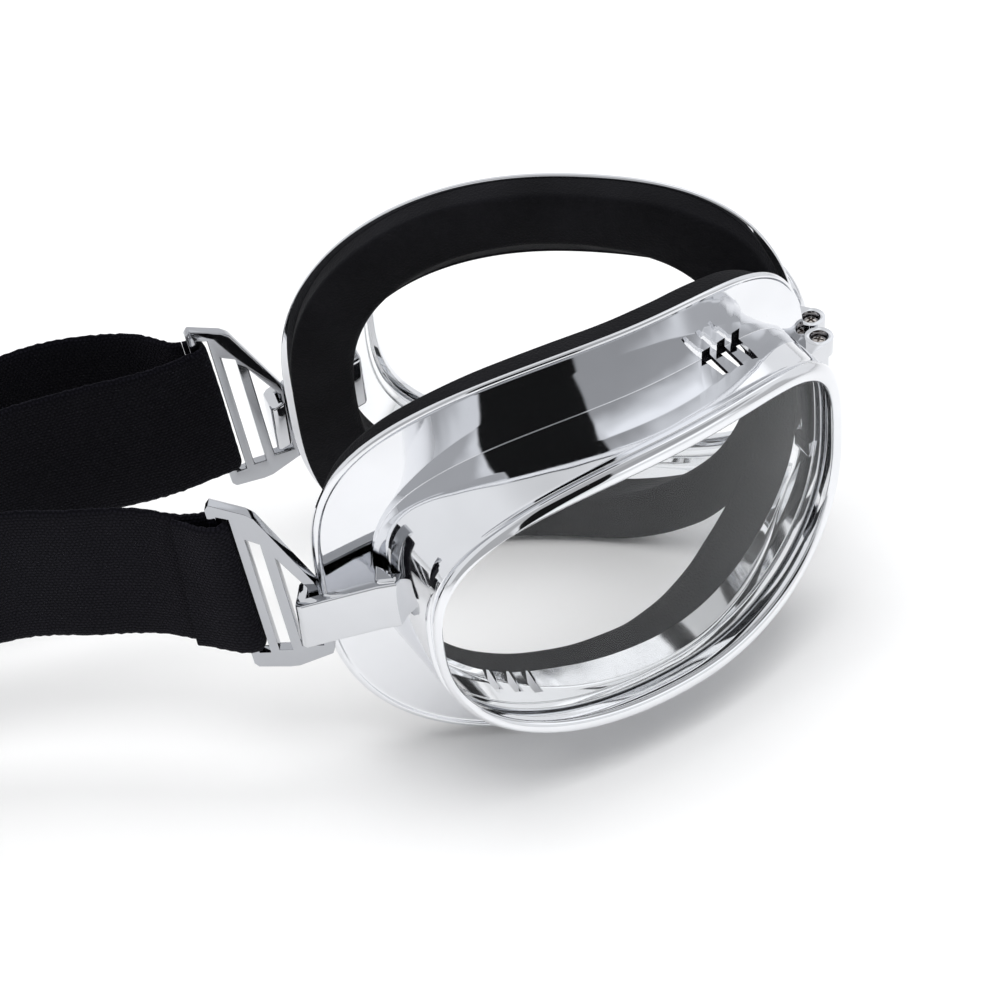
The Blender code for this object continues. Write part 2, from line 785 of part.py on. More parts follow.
for _side, _tag in ((-1, "right"), (1, "left")):
    shell(_side, _tag + "_cup_shell")
    lens(_side, _tag + "_lens")
    retainer(_side, _tag + "_lens_retainer")
    face_foam(_side, _tag + "_face_foam")
    bridge_screw(_side, _tag + "_bridge_screw")
    buckle(_side, _tag + "_strap_buckle")

bridge_link("bridge_link")
ribbon("right_strap_run", right_strap())
ribbon("left_strap_run", left_strap())
ribbon("left_strap_tail", left_tail())
slider("strap_slider")
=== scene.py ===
import math

import bmesh
import bpy
import numpy as np
from mathutils import Matrix, Vector

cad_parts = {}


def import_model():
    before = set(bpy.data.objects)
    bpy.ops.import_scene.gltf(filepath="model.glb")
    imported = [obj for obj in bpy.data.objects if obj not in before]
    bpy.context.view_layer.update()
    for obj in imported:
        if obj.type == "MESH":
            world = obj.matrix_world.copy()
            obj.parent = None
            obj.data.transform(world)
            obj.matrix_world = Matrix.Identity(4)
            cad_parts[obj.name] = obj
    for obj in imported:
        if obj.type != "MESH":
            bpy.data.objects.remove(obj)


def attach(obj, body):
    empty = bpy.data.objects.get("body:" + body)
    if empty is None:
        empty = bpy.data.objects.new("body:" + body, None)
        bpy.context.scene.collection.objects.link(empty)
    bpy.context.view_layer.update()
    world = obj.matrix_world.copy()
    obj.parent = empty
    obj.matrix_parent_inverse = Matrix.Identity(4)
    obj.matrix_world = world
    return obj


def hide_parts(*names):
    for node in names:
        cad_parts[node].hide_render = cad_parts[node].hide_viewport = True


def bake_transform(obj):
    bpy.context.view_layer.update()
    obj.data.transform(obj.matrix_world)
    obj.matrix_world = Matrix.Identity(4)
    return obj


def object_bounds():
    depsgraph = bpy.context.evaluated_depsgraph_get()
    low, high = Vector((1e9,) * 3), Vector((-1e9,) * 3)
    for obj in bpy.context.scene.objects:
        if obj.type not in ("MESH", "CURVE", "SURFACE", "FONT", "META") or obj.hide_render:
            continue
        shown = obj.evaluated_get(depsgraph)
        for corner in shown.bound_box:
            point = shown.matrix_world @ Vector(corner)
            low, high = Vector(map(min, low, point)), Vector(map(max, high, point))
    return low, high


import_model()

CAD_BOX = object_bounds()
MM = 0.001

# ------------------------------------------------------------------ dimensions
# The same numbers as the frame is built from, in millimetres.
FLANGE_LENGTH = 88.0
FLANGE_BOTTOM = -40.5
FLANGE_TOP = 38.0
FLANGE_THICK = 1.5
FLANGE_DISH = 1.4
TEMPLE_SWEEP = -4.4
BACK_BOW = -11.6
FRONT_BOW = -9.3
NOSE_RELIEF = 1.0
BEAD_FRONT = 13.6
LENS_FRONT = 11.1
LENS_THICK = 1.8
RETAINER_THICK = 1.6
CREASE_HEIGHT = 7.6
FOAM_OUTER = 3.2
FOAM_RIDGE = 5.0
FOAM_INNER = 3.4
FOLD_ANGLE = 20.62
FOLD_OFFSET = 7.71
EYE_HEIGHT = -FLANGE_BOTTOM
PIVOT_X = 2.65
PIVOT_Y = 0.2
EAR_RADIUS = 2.4
EAR_TOP = 15.1
EAR_THICK = 3.0
EAR_LOW_TOP = -4.0
LINK_RADIUS = 1.95
SCREW_RADIUS = 0.8
HEAD_RADIUS = 1.3
ARM_HEIGHT = 9.3
ARM_SLOPE = -0.304
ARM_BACK = 2.9
ARM_FRONT = 5.0
BUCKLE_BACK = 0.5
BUCKLE_FRONT = 2.3
BUCKLE_LEAN = 0.09
STRAP_WIDTH = 28.0
STRAP_THICK = 1.3
STRAP_HEIGHT = 41.5
STRAP_LOW = 16.8
STRAP_END = 272.0
SLIDER_Y = 238.0
ORIGIN_Y = 140.72

FLANGE = (36.2, 1.6, 0.0, FLANGE_LENGTH, FLANGE_BOTTOM, FLANGE_TOP, 3.5, 2.6, 1.85, 3.2)
BASE = (36.5, 0.0, 0.8, 78.2, -30.0, 24.0, 3.9, 2.55, 1.9, 2.4)
CREASE = (36.5, -0.4, 0.2, 79.4, -30.5, 24.3, 3.7, 2.6, 2.1, 2.5)
BEAD = (36.5, -1.0, -0.8, 80.9, -31.0, 24.5, 3.5, 2.42, 2.15, 2.62)
LIP = (36.5, -1.0, -0.8, 78.9, -31.0, 24.5, 3.5, 2.46, 2.15, 2.66)
LENS = (36.5, -1.0, 2.0, 77.6, -27.9, 21.3, 3.8, 2.8, 2.2, 2.65)
FOAM_IN = (39.3, 1.0, 9.0, 75.7, -29.4, 27.3, 2.9, 2.5, 1.7, 2.8)


def inset(o, g, nose=None):
    n = g if nose is None else nose
    return (o[0], o[1], o[2] + n, o[3] - g, o[4] + g, o[5] - g, *o[6:])


def oval(o, n, soften=2.0):
    """n points round an outline, its quarters run into each other smoothly."""
    m = 8 * n
    uc, vc, u0, u1, v0, v1, nt, tt, nb, tb = o
    a = 2 * np.pi * (np.arange(m) + 0.5) / m
    c, s = np.cos(a), np.sin(a)
    hu = np.where(c >= 0, u1 - uc, uc - u0)
    hv = np.where(s >= 0, v1 - vc, vc - v0)
    k = np.where(s >= 0, np.where(c >= 0, tt, nt), np.where(c >= 0, tb, nb))
    r = (np.abs(c) ** k + np.abs(s) ** k) ** (-1 / k)
    p = np.stack([uc + hu * r * c, vc + hv * r * s], 1)
    seg = np.hypot(*(np.roll(p, -1, 0) - p).T)
    arc = np.concatenate([[0], np.cumsum(seg)])
    total = arc[-1]
    even = np.arange(m) * total / m
    out = []
    freq = np.fft.rfftfreq(m, total / m)
    for x in p.T:
        e = np.interp(even, arc, np.append(x, x[0]))
        e = np.fft.irfft(np.fft.rfft(e) * np.exp(-0.5 * (2 * np.pi * freq * soften) ** 2), m)
        out.append(np.interp(arc[:-1], np.append(even, total), np.append(e, e[0])))
    return np.stack(out, 1)[::8]


def wider(o, d):
    """The outline with its temple end moved out by d."""
    return (*o[:3], o[3] + d, *o[4:])


def lip(u, v):
    """How far the foam's inner edge comes forward over the wall's foot."""
    low = 0.1 + 1.8 * smooth((u - 52.0) / 18.0)
    return -1.15 + (low + 1.15) * smooth((6.0 - v) / 24.0)


def smooth(t):
    t = np.clip(t, 0.0, 1.0)
    return t * t * (3 - 2 * t)


def back_bow(u):
    s = (u - 44.0) / 44.0
    w = TEMPLE_SWEEP * s + BACK_BOW * s * s
    return w + NOSE_RELIEF * (np.clip(-s - 0.7, 0, None) / 0.3) ** 2


def front_bow(u):
    s = (u - 44.0) / 44.0
    return FRONT_BOW * s * s


def crease_rise(u, v):
    s = np.abs((u - 42.0) / 40.0)
    return np.maximum(1.2, CREASE_HEIGHT * (1.0 - s**2.2))


COS_F = math.cos(math.radians(90.0 - FOLD_ANGLE))
SIN_F = math.sin(math.radians(90.0 - FOLD_ANGLE))


def world(u, w, v, side):
    """Cup coordinates in mm to metres in the row frame; arrays welcome."""
    x = (COS_F * u + SIN_F * w + FOLD_OFFSET) * side
    y = SIN_F * u - COS_F * w - ORIGIN_Y
    return np.stack(np.broadcast_arrays(x, y, v + EYE_HEIGHT), -1) * MM


def cup(x_mm, y_mm):
    a, b = x_mm - FOLD_OFFSET, y_mm
    return (COS_F * a + SIN_F * b, SIN_F * a - COS_F * b)


_slope = (TEMPLE_SWEEP + 2 * BACK_BOW) / 44.0
_len = math.hypot(1.0, _slope)
TU, TW = 1.0 / _len, _slope / _len
NU, NW = -TW, TU
TIP_W = TEMPLE_SWEEP + BACK_BOW


def temple(p, q, v, side, lean=0.0):
    p = p + lean * BUCKLE_LEAN * (v + 6.0)
    return world(FLANGE_LENGTH + TU * p + NU * q, TIP_W + TW * p + NW * q, v, side)


# ------------------------------------------------------------------ mesh tools


def mesh_object(name, verts, faces, material, smooth_angle=40.0, uv=None):
    me = bpy.data.meshes.new(name)
    me.from_pydata([tuple(p) for p in verts], [], [tuple(f) for f in faces])
    me.update()
    bm = bmesh.new()
    bm.from_mesh(me)
    bmesh.ops.recalc_face_normals(bm, faces=bm.faces)
    if all(len(e.link_faces) == 2 for e in bm.edges) and bm.calc_volume(signed=True) < 0:
        bmesh.ops.reverse_faces(bm, faces=bm.faces)  # a closed solid faces outwards
    bm.to_mesh(me)
    bm.free()
    if uv is not None:
        layer = me.uv_layers.new(name="strap")
        idx = np.empty(len(me.loops), int)
        me.loops.foreach_get("vertex_index", idx)
        layer.data.foreach_set("uv", np.asarray(uv, np.float32)[idx].ravel())
    me.shade_smooth()
    me.set_sharp_from_angle(angle=math.radians(smooth_angle))
    ob = bpy.data.objects.new(name, me)
    bpy.context.scene.collection.objects.link(ob)
    if material is not None:
        me.materials.append(material)
    return ob


def torus_faces(m, n, wrap=True):
    faces = []
    for a in range(m if wrap else m - 1):
        b = (a + 1) % m
        for i in range(n):
            j = (i + 1) % n
            faces.append((a * n + i, a * n + j, b * n + j, b * n + i))
    return faces


def fillet(rings, radii, steps=4):
    """Rounds the corners of a closed profile: rings is (k, n, 3) control points."""
    k = len(rings)
    out = []
    for i in range(k):
        p, a, b = rings[i], rings[i - 1], rings[(i + 1) % k]
        da = np.linalg.norm(a - p, axis=1, keepdims=True)
        db = np.linalg.norm(b - p, axis=1, keepdims=True)
        # a smooth minimum keeps the fillet even along the rim
        ra = 1.0 / (1.0 / radii[i] ** 4 + 1.0 / (0.46 * da + 1e-6) ** 4) ** 0.25
        rb = 1.0 / (1.0 / radii[i] ** 4 + 1.0 / (0.46 * db + 1e-6) ** 4) ** 0.25
        s = p + (a - p) / (da + 1e-9) * ra
        e = p + (b - p) / (db + 1e-9) * rb
        for t in np.linspace(0, 1, steps + 1):
            out.append((1 - t) ** 2 * s + 2 * t * (1 - t) * p + t * t * e)
    return np.stack(out)


def ring_local(outline, lift, n, soften=2.0):
    uv = oval(outline, n, soften)
    return np.stack([uv[:, 0], lift(uv[:, 0], uv[:, 1]), uv[:, 1]], 1)


def to_world(local, side):
    return world(local[..., 0], local[..., 1], local[..., 2], side)


def bake(ob):
    """Applies an object's modifiers."""
    dg = bpy.context.evaluated_depsgraph_get()
    me = bpy.data.meshes.new_from_object(ob.evaluated_get(dg), depsgraph=dg)
    ob.modifiers.clear()
    old = ob.data
    ob.data = me
    bpy.data.meshes.remove(old)
    return ob


def boolean(ob, cutters, operation="DIFFERENCE"):
    for c in cutters:
        m = ob.modifiers.new("b", "BOOLEAN")
        m.operation = operation
        m.object = c
        m.solver = "EXACT"
    bake(ob)
    for c in cutters:
        bpy.data.objects.remove(c, do_unlink=True)
    return ob


def bevel(ob, width, segments=3, angle=30.0):
    m = ob.modifiers.new("bevel", "BEVEL")
    m.width = width * MM
    m.segments = segments
    m.limit_method = "ANGLE"
    m.angle_limit = math.radians(angle)
    m.harden_normals = False
    bake(ob)
    ob.data.shade_smooth()
    ob.data.set_sharp_from_angle(angle=math.radians(40))
    return ob


def prism(name, a, b, material=None):
    n = len(a)
    faces = [list(range(n)), list(range(2 * n - 1, n - 1, -1))]
    faces += [(i, n + i, n + (i + 1) % n, (i + 1) % n) for i in range(n)]
    return mesh_object(name, list(a) + list(b), faces, material)


def drum(name, cx, cy, z0, z1, r, n=48, material=None):
    a = 2 * np.pi * np.arange(n) / n
    ring = np.stack([cx + r * np.cos(a), cy + r * np.sin(a) - ORIGIN_Y], 1)
    lo = np.column_stack([ring, np.full(n, z0)]) * MM
    hi = np.column_stack([ring, np.full(n, z1)]) * MM
    return prism(name, lo, hi, material)


# ------------------------------------------------------------------ materials


class Nodes:
    """Short names for building a node tree."""

    def __init__(self, tree):
        self.t = tree

    def new(self, kind, **inputs):
        n = self.t.nodes.new(kind)
        for k, v in inputs.items():
            setattr(n, k, v)
        return n

    def math(self, op, a, b=None, c=None, clamp=False):
        n = self.new("ShaderNodeMath", operation=op, use_clamp=clamp)
        for i, x in enumerate((a, b, c)):
            if x is None:
                continue
            if isinstance(x, (int, float)):
                n.inputs[i].default_value = x
            else:
                self.t.links.new(x, n.inputs[i])
        return n.outputs[0]

    def vec(self, op, a, b=None):
        n = self.new("ShaderNodeVectorMath", operation=op)
        for i, x in enumerate((a, b)):
            if x is None:
                continue
            if isinstance(x, (tuple, list, Vector, np.ndarray)):
                n.inputs[i].default_value = tuple(float(q) for q in x)
            else:
                self.t.links.new(x, n.inputs[i])
        return n.outputs["Value"] if op in ("DOT_PRODUCT", "LENGTH") else n.outputs["Vector"]

    def noise(self, coord, scale, detail=2.0, rough=0.5):
        n = self.new("ShaderNodeTexNoise")
        n.inputs["Scale"].default_value = scale
        n.inputs["Detail"].default_value = detail
        n.inputs["Roughness"].default_value = rough
        self.t.links.new(coord, n.inputs["Vector"])
        return n.outputs["Fac"]

    def ramp(self, fac, stops):
        n = self.new("ShaderNodeValToRGB")
        el = n.color_ramp.elements
        while len(el) < len(stops):
            el.new(0.5)
        for e, (pos, col) in zip(el, stops):
            e.position = pos
            e.color = (*col, 1.0) if len(col) == 3 else col
        self.t.links.new(fac, n.inputs["Fac"])
        return n.outputs["Color"]

    def bump(self, height, strength, distance, normal=None):
        n = self.new("ShaderNodeBump")
        n.inputs["Strength"].default_value = strength
        n.inputs["Distance"].default_value = distance
        self.t.links.new(height, n.inputs["Height"])
        if normal is not None:
            self.t.links.new(normal, n.inputs["Normal"])
        return n.outputs["Normal"]

    def link(self, a, b):
        self.t.links.new(a, b)


def material(name, metallic, roughness):
    m = bpy.data.materials.new(name)
    m.use_nodes = True
    t = m.node_tree
    b = t.nodes["Principled BSDF"]
    b.inputs["Metallic"].default_value = metallic
    b.inputs["Roughness"].default_value = roughness
    return m, Nodes(t), b


def chrome_material(name, tint=(0.90, 0.91, 0.93), rough=0.045, waviness=1.0):
    m, n, b = material(name, 1.0, rough)
    co = n.new("ShaderNodeTexCoord").outputs["Object"]
    # plating: faint cloudiness, a slow ripple left by polishing, fine pits and rougher specks
    cloud = n.noise(co, 55.0, 3.0)
    dark = tuple(c * 0.94 for c in tint)
    n.link(n.ramp(cloud, [(0.35, dark), (0.65, tint)]), b.inputs["Base Color"])
    speck = n.noise(co, 900.0, 4.0, 0.6)
    r = n.math("MULTIPLY_ADD", n.math("POWER", speck, 3.0), 0.10, rough * 0.6)
    n.link(r, b.inputs["Roughness"])
    ripple = n.noise(co, 95.0, 1.0)
    nrm = n.bump(ripple, 0.10 * waviness, 0.0006)
    pit = n.math("GREATER_THAN", n.noise(co, 1500.0, 1.0), 0.80)
    nrm = n.bump(pit, 0.10, 0.00004, nrm)
    n.link(nrm, b.inputs["Normal"])
    return m


def lens_material():
    """Clear sheet: what the surface mirrors grows with the angle, and the rest passes."""
    m, n, b = material("lens_clear", 1.0, 0.012)
    co = n.new("ShaderNodeTexCoord").outputs["Object"]
    smear = n.noise(co, 60.0, 4.0, 0.6)
    n.link(n.ramp(smear, [(0.3, (0.86, 0.89, 0.90)), (0.75, (0.97, 0.98, 1.0))]), b.inputs["Base Color"])
    n.link(n.math("MULTIPLY_ADD", smear, 0.03, 0.004), b.inputs["Roughness"])
    f = n.new("ShaderNodeLayerWeight")
    f.inputs["Blend"].default_value = 0.5
    slant = n.math("POWER", f.outputs["Facing"], 4.0)
    a = n.math("MULTIPLY_ADD", slant, 0.5, 0.012)
    a = n.math("ADD", a, n.math("MULTIPLY", n.math("POWER", smear, 4.0), 0.03), clamp=True)
    n.link(a, b.inputs["Alpha"])
    return m


def foam_material():
    m, n, b = material("foam_black", 0.0, 0.9)
    co = n.new("ShaderNodeTexCoord").outputs["Object"]
    cloud = n.noise(co, 70.0, 4.0)
    n.link(n.ramp(cloud, [(0.3, (0.0035, 0.0035, 0.0045)), (0.72, (0.0085, 0.0085, 0.0105))]), b.inputs["Base Color"])
    cell = n.new("ShaderNodeTexVoronoi")
    cell.inputs["Scale"].default_value = 2600.0
    n.link(co, cell.inputs["Vector"])
    fine = n.noise(co, 2400.0, 3.0, 0.7)
    h = n.math("ADD", cell.outputs["Distance"], fine)
    nrm = n.bump(n.noise(co, 160.0, 2.0), 0.25, 0.0006)
    n.link(n.bump(h, 0.55, 0.00018, nrm), b.inputs["Normal"])
    n.link(n.math("MULTIPLY_ADD", fine, 0.25, 0.72), b.inputs["Roughness"])
    b.inputs["Specular IOR Level"].default_value = 0.12
    b.inputs["Sheen Weight"].default_value = 0.03
    b.inputs["Sheen Roughness"].default_value = 0.5
    return m


def strap_material():
    """Woven elastic. The mesh's map carries millimetres along and across the strap."""
    m, n, b = material("strap_elastic", 0.0, 0.85)
    uv = n.new("ShaderNodeUVMap")
    uv.uv_map = "strap"
    sep = n.new("ShaderNodeSeparateXYZ")
    n.link(uv.outputs[0], sep.inputs[0])
    along, across = sep.outputs[0], sep.outputs[1]
    co = n.new("ShaderNodeTexCoord").outputs["Object"]
    wob = n.math("MULTIPLY", n.noise(co, 420.0, 2.0), 0.9)
    # warp cords side by side, crossed by weft picks that step half a pitch per cord
    cord = n.math("ABSOLUTE", n.math("SINE", n.math("MULTIPLY", n.math("ADD", across, wob), math.pi / 0.62)))
    step = n.math("MULTIPLY", n.math("FLOOR", n.math("MULTIPLY", n.math("ADD", across, wob), 1 / 0.62)), math.pi / 2)
    pick = n.math("ABSOLUTE", n.math("SINE", n.math("ADD", n.math("MULTIPLY", n.math("ADD", along, wob), math.pi / 0.74), step)))
    weave = n.math("MULTIPLY", n.math("POWER", cord, 0.6), n.math("POWER", pick, 0.7))
    fuzz = n.noise(co, 3200.0, 4.0, 0.75)
    h = n.math("ADD", weave, n.math("MULTIPLY", fuzz, 0.7))
    cloud = n.noise(co, 45.0, 3.0)
    # the colour is lighter on the raised cords and darker between them, painted shade in the weave's hollows; fuzz
    # and cloud add random tone
    shade = n.math("ADD", n.math("MULTIPLY", weave, 0.45), n.math("ADD", n.math("MULTIPLY", fuzz, 0.5), n.math("MULTIPLY", cloud, 0.35)))
    n.link(n.ramp(shade, [(0.30, (0.0008, 0.0008, 0.0016)), (0.62, (0.0028, 0.0027, 0.0045)), (0.95, (0.0095, 0.009, 0.013))]), b.inputs["Base Color"])
    n.link(n.math("MULTIPLY_ADD", fuzz, 0.25, 0.68), b.inputs["Roughness"])
    n.link(n.bump(h, 0.75, 0.00028), b.inputs["Normal"])
    b.inputs["Specular IOR Level"].default_value = 0.08
    b.inputs["Sheen Weight"].default_value = 0.022
    b.inputs["Sheen Roughness"].default_value = 0.45
    b.inputs["Sheen Tint"].default_value = (0.82, 0.80, 1.0, 1.0)
    return m


CHROME = chrome_material("chrome_cup", (0.815, 0.825, 0.85))
# the fittings and buckles use the same chrome with a darker tint: painted shade for the shadowed floor they mirror,
# darkest on the buckles
CHROME_SMALL = chrome_material("chrome_fitting", (0.66, 0.67, 0.695), 0.06, 0.6)
CHROME_BUCKLE = chrome_material("chrome_buckle", (0.45, 0.46, 0.485), 0.075, 0.6)
CHROME_IN = chrome_material("chrome_inner", (0.88, 0.89, 0.905), 0.11, 1.4)
SCREW = chrome_material("screw_plated", (0.50, 0.47, 0.45), 0.25, 0.5)
LENS_MAT = lens_material()
FOAM = foam_material()
STRAP = strap_material()

# ------------------------------------------------------------------ cup shell

NS = 240


def shell(side, tag):
    back = lambda d: (lambda u, v: back_bow(u) + d)
    front = lambda d: (lambda u, v: front_bow(u) + d)
    rim = lambda d: (lambda u, v: back_bow(u) + d * smooth((u - 1.0) / 7.0))
    crease = lambda u, v: rim(-FLANGE_DISH)(u, v) + crease_rise(u, v)
    seat = inset(LENS, -1.1)
    # the drawn sheet is thin: its rim is a fine line and its wall leans in towards the lens
    foot = wider(BASE, 1.0)
    fold = wider(CREASE, 0.6)
    top = wider(BEAD, -1.3)
    stack = [
        (inset(FLANGE, 0.12, nose=0.1), back(-0.62), 0.15),
        (FLANGE, back(-0.4), 0.2),
        (FLANGE, back(0.05), 0.25),
        (inset(FLANGE, 0.3, nose=0.05), rim(0.38), 0.22),
        (inset(FLANGE, 0.75, nose=0.12), rim(0.3), 0.25),
        (inset(FLANGE, 1.1, nose=0.2), rim(-0.15), 0.4),
        (foot, rim(-FLANGE_DISH), 0.14),
        (fold, crease, 0.2),
        (inset(top, 0.5), front(10.3), 0.5),
        (inset(top, 0.4), front(10.95), 0.3),
        (inset(LIP, 0.75), front(11.1), 0.1),
        (inset(LIP, 0.12), front(11.6), 0.5),
        (LIP, front(12.6), 0.9),
        (inset(LIP, 0.9), front(BEAD_FRONT), 0.9),
        (inset(LENS, -0.9), front(13.5), 0.6),
        (LENS, front(12.9), 0.7),
        (LENS, front(LENS_FRONT + 0.3), 0.15),
        (seat, front(LENS_FRONT + 0.3), 0.12),
        (seat, front(7.35), 0.2),
        (inset(LENS, -0.45), front(7.2), 0.3),
        (inset(fold, 0.8), lambda u, v: crease(u, v) - 0.5, 0.8),
        (inset(foot, 0.8), lambda u, v: back_bow(u) + lip(u, v) - 0.12, 0.1),
        (inset(foot, -0.1), rim(-FLANGE_DISH - 0.62), 0.2),
    ]
    local = np.stack([ring_local(o, f, NS) for o, f, _ in stack])
    rings = fillet(local, [r for _, _, r in stack])
    pts = to_world(rings, side)
    ob = mesh_object(tag + "_shell_chrome", pts.reshape(-1, 3), torus_faces(len(pts), NS), CHROME, 42)
    ob.data.materials.append(CHROME_IN)
    first = 5 * 19 * NS  # the rings behind the lens seat
    for k in range(first, 5 * 21 * NS):
        ob.data.polygons[k].material_index = 1

    cutters = []
    for i in range(3):
        u = 22.3 - 3.2 * i
        b0 = back_bow(u)
        w0, w1 = b0 - FLANGE_DISH - 3.0, b0 + 4.2
        box = [(u - 1.15, w0), (u + 0.95, w0), (u + 0.35, w1), (u - 0.75, w1)]
        cutters.append(prism("cut", [world(a, c, 19.5, side) for a, c in box], [world(a, c, 25.4, side) for a, c in box]))
        u = 65.4 - 3.15 * i
        b0 = back_bow(u)
        w0, w1 = b0 - FLANGE_DISH - 3.0, b0 + 5.6
        box = [(u - 0.8, w0), (u + 0.8, w0), (u + 1.4, w1), (u - 0.2, w1)]
        cutters.append(prism("cut", [world(a, c, -33.0, side) for a, c in box], [world(a, c, -22.0, side) for a, c in box]))
    # clearance round the bridge link
    n = 20
    pts = []
    r = LINK_RADIUS + 0.4
    for cx, a0 in ((PIVOT_X, -90.0), (-PIVOT_X, 90.0)):
        for i in range(n + 1):
            a = math.radians(a0 + 180.0 * i / n)
            pts.append((cx + r * math.cos(a), PIVOT_Y + r * math.sin(a) - ORIGIN_Y))
    lo = [np.array((x, y, EAR_LOW_TOP + EYE_HEIGHT)) * MM for x, y in pts]
    hi = [np.array((x, y, EAR_TOP - EAR_THICK + EYE_HEIGHT)) * MM for x, y in pts]
    cutters.append(prism("cut", lo, hi))
    boolean(ob, cutters)
    ob.data.shade_smooth()
    ob.data.set_sharp_from_angle(angle=math.radians(38))
    return ob


def mirrored(ob, name):
    """A copy of ob on the other side of the middle plane."""
    me = ob.data.copy()
    me.name = name
    co = np.empty(len(me.vertices) * 3, np.float32)
    me.vertices.foreach_get("co", co)
    co[0::3] *= -1.0
    me.vertices.foreach_set("co", co)
    me.flip_normals()
    me.update()
    out = bpy.data.objects.new(name, me)
    bpy.context.scene.collection.objects.link(out)
    return out


def arm_mid(p):
    return -5.85 + ARM_SLOPE * (p - 1.7)


def arm(side, tag):
    outline = [
        (-13.6, ARM_BACK),
        (1.45, ARM_BACK),
        (1.45, -0.1),
        (0.6, -0.1),
        (0.6, -1.2),
        (2.6, -1.3),
        (3.2, -0.7),
        (3.3, 4.2),
        (2.4, ARM_FRONT),
        (-10.2, ARM_FRONT),
        (-14.3, ARM_FRONT + 0.5),
    ]
    h = ARM_HEIGHT / 2
    low = [temple(p, q, arm_mid(p) - h, side) for p, q in outline]
    high = [temple(p, q, arm_mid(p) + h, side) for p, q in outline]
    ob = prism(tag + "_strap_arm", low, high, CHROME_SMALL)
    bevel(ob, 0.42, 4)
    boss = [(-9.6, -1.2), (-9.9, 3.4), (-10.2, 4.2), (-14.0, 5.1), (-14.0, -1.2)]
    low = [temple(p, q, arm_mid(p) - h - 0.6, side) for p, q in boss]
    high = [temple(p, q, arm_mid(p) + h + 0.6, side) for p, q in boss]
    bs = prism(tag + "_arm_boss", low, high, CHROME_SMALL)
    bevel(bs, 0.7, 5)
    return [ob, bs]


def ears(side, tag):
    px = PIVOT_X * side
    pu, pw = cup(PIVOT_X, PIVOT_Y)
    out = []
    for name, v1 in (("upper", EAR_TOP), ("lower", EAR_LOW_TOP)):
        z1 = v1 + EYE_HEIGHT
        ob = drum(tag + "_hinge_ear_" + name, px, PIVOT_Y, z1 - EAR_THICK, z1, EAR_RADIUS, 64, CHROME_SMALL)
        foot = [(pu - 0.2, pw - 1.6), (pu - 1.2, pw + 2.07), (pu + 0.6, pw + 2.5), (pu + 4.2, pw + 3.2), (pu + 4.2, pw - 1.0)]
        web = prism("web", [world(u, w, v1 - EAR_THICK + 0.02, side) for u, w in foot], [world(u, w, v1 - 0.02, side) for u, w in foot])
        boolean(ob, [web], "UNION")
        cut = [drum("cut", px, PIVOT_Y, z1 - EAR_THICK - 1, z1 + 1, SCREW_RADIUS + 0.28, 40)]
        if name == "upper":
            cut.append(drum("cut", px, PIVOT_Y, z1 - 1.4, z1 + 1, HEAD_RADIUS + 0.3, 56))
        boolean(ob, cut)
        bevel(ob, 0.22, 3, 40)
        out.append(ob)
    return out


def lens(side, tag):
    edge = inset(LENS, -0.8)
    n, m = 160, 20
    ring = oval(edge, n)
    c = np.array([edge[0], edge[1]])
    verts, layers = [], []
    for d, edge_in in ((LENS_FRONT, 0.0), (LENS_FRONT - LENS_THICK, 0.0)):
        base = len(verts)
        for k in range(m):
            s = 1.0 - k / m
            p = c + (ring - c) * s
            verts += list(world(p[:, 0], front_bow(p[:, 0]) + d, p[:, 1], side))
        verts.append(world(c[0], front_bow(c[0]) + d, c[1], side))
        layers.append(base)
    faces = []
    for base in layers:
        for k in range(m - 1):
            for i in range(n):
                j = (i + 1) % n
                faces.append((base + k * n + i, base + k * n + j, base + (k + 1) * n + j, base + (k + 1) * n + i))
        for i in range(n):
            faces.append((base + (m - 1) * n + i, base + (m - 1) * n + (i + 1) % n, base + m * n))
    for i in range(n):
        j = (i + 1) % n
        faces.append((layers[0] + i, layers[1] + i, layers[1] + j, layers[0] + j))
    return mesh_object(tag + "_lens_clear", verts, faces, LENS_MAT)


def loft(name, stack, n, mat, side, soften=2.0, wobble=None):
    local = np.stack([ring_local(o, f, n, soften) for o, f, _ in stack])
    rings = fillet(local, [r for _, _, r in stack], 5)
    if wobble is not None:
        rings = wobble(rings)
    pts = to_world(rings, side)
    return mesh_object(name, pts.reshape(-1, 3), torus_faces(len(pts), n), mat, 50)


def retainer(side, tag):
    d1 = LENS_FRONT - LENS_THICK - 0.3
    d0 = d1 - RETAINER_THICK
    outer, inner = inset(LENS, -0.8), inset(LENS, -0.38)
    front = lambda d: (lambda u, v: front_bow(u) + d)
    stack = [(outer, front(d0), 0.25), (outer, front(d1), 0.15), (inner, front(d1), 0.25), (inner, front(d0), 0.6)]
    return loft(tag + "_lens_ring", stack, 200, CHROME_IN, side)


